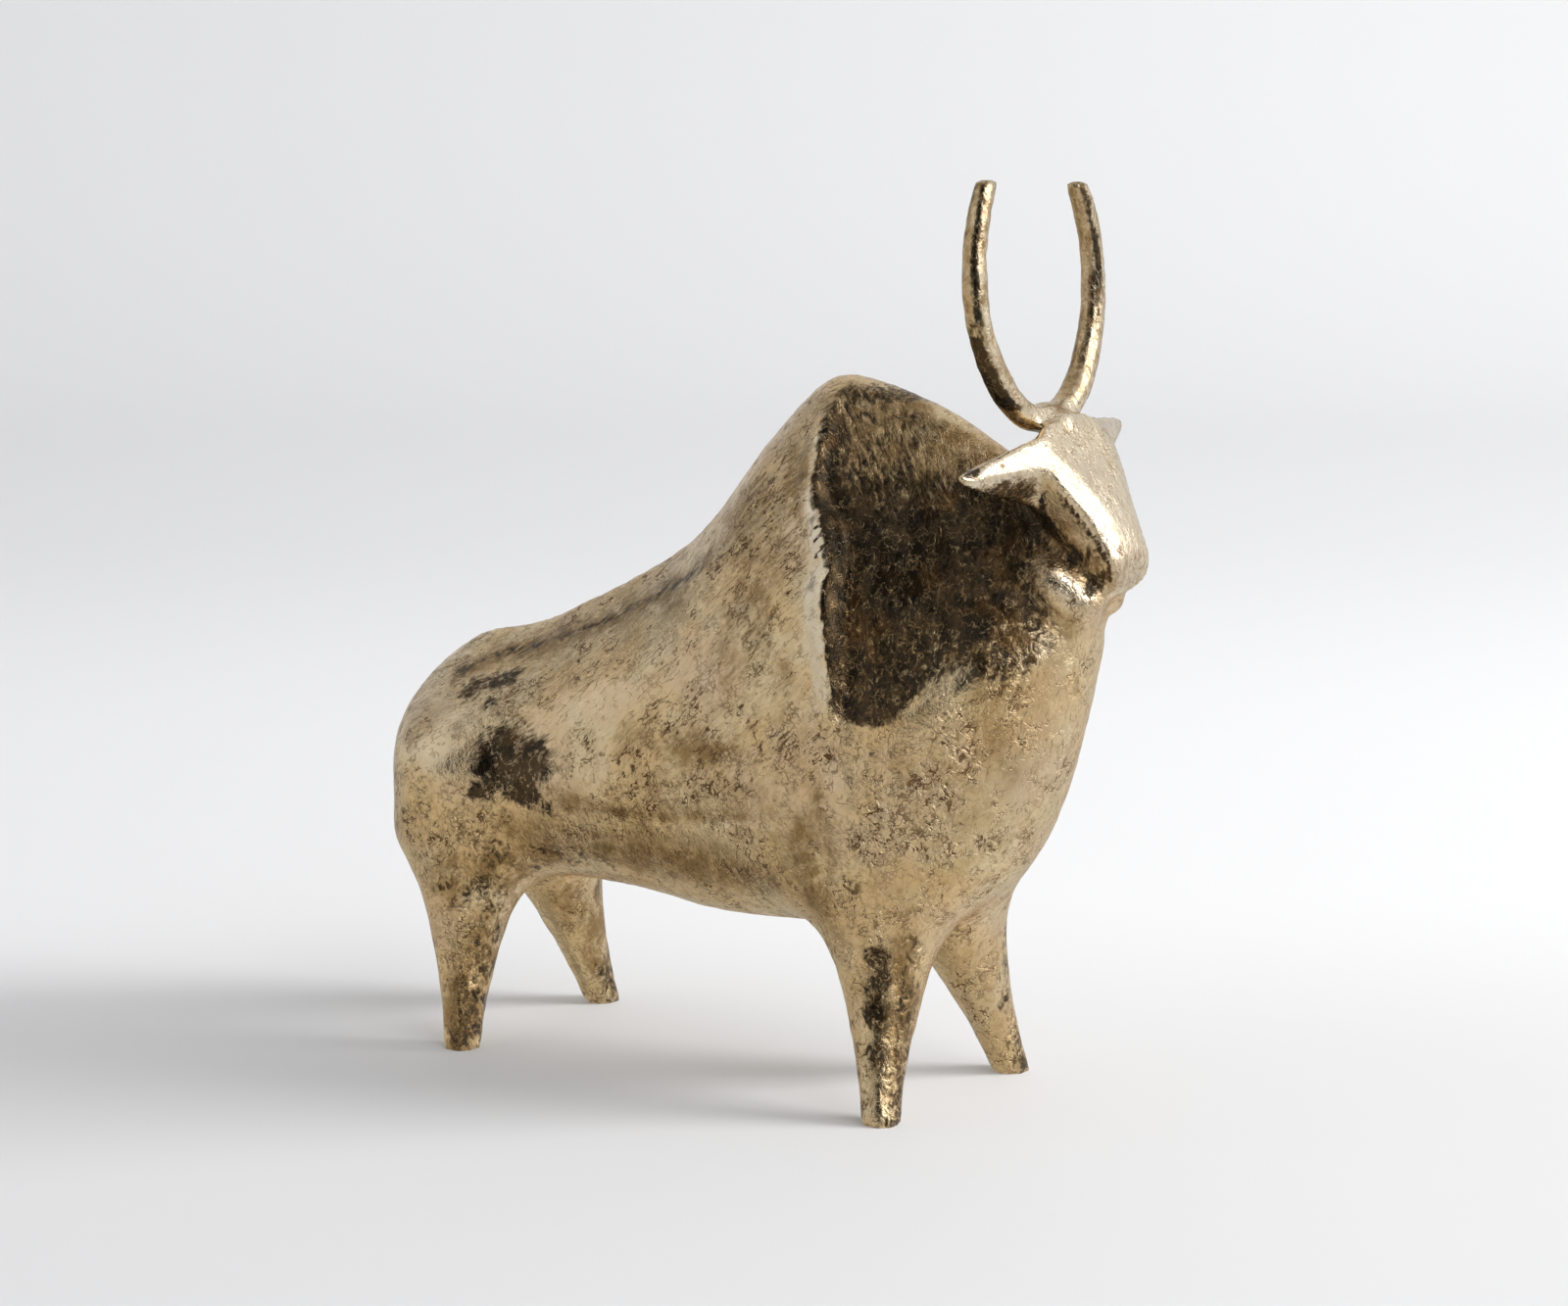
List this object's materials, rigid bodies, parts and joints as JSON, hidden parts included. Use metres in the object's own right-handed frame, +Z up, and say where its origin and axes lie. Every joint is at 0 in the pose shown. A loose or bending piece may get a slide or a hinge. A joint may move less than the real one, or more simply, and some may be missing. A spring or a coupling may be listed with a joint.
{
  "type": "bull figurine",
  "caption": "Stylised standing bull figurine in cast brass: tall thin shoulder hump, short cone legs, wedge head with drooping ears and upright curved horns.",
  "frame": {"origin": "bottom centre of the bounding box, on the ground that the feet stand on", "axes": "+X the way the bull faces, +Y its left side, +Z up"},
  "size_m": [0.3052, 0.1048, 0.3213],
  "materials": {
    "brass": "polished cast brass with a pitted, wrinkled skin and brown-black patina in the hollows"
  },
  "bodies": {
    "root": {"bull": "brass"}
  },
  "joints": []
}
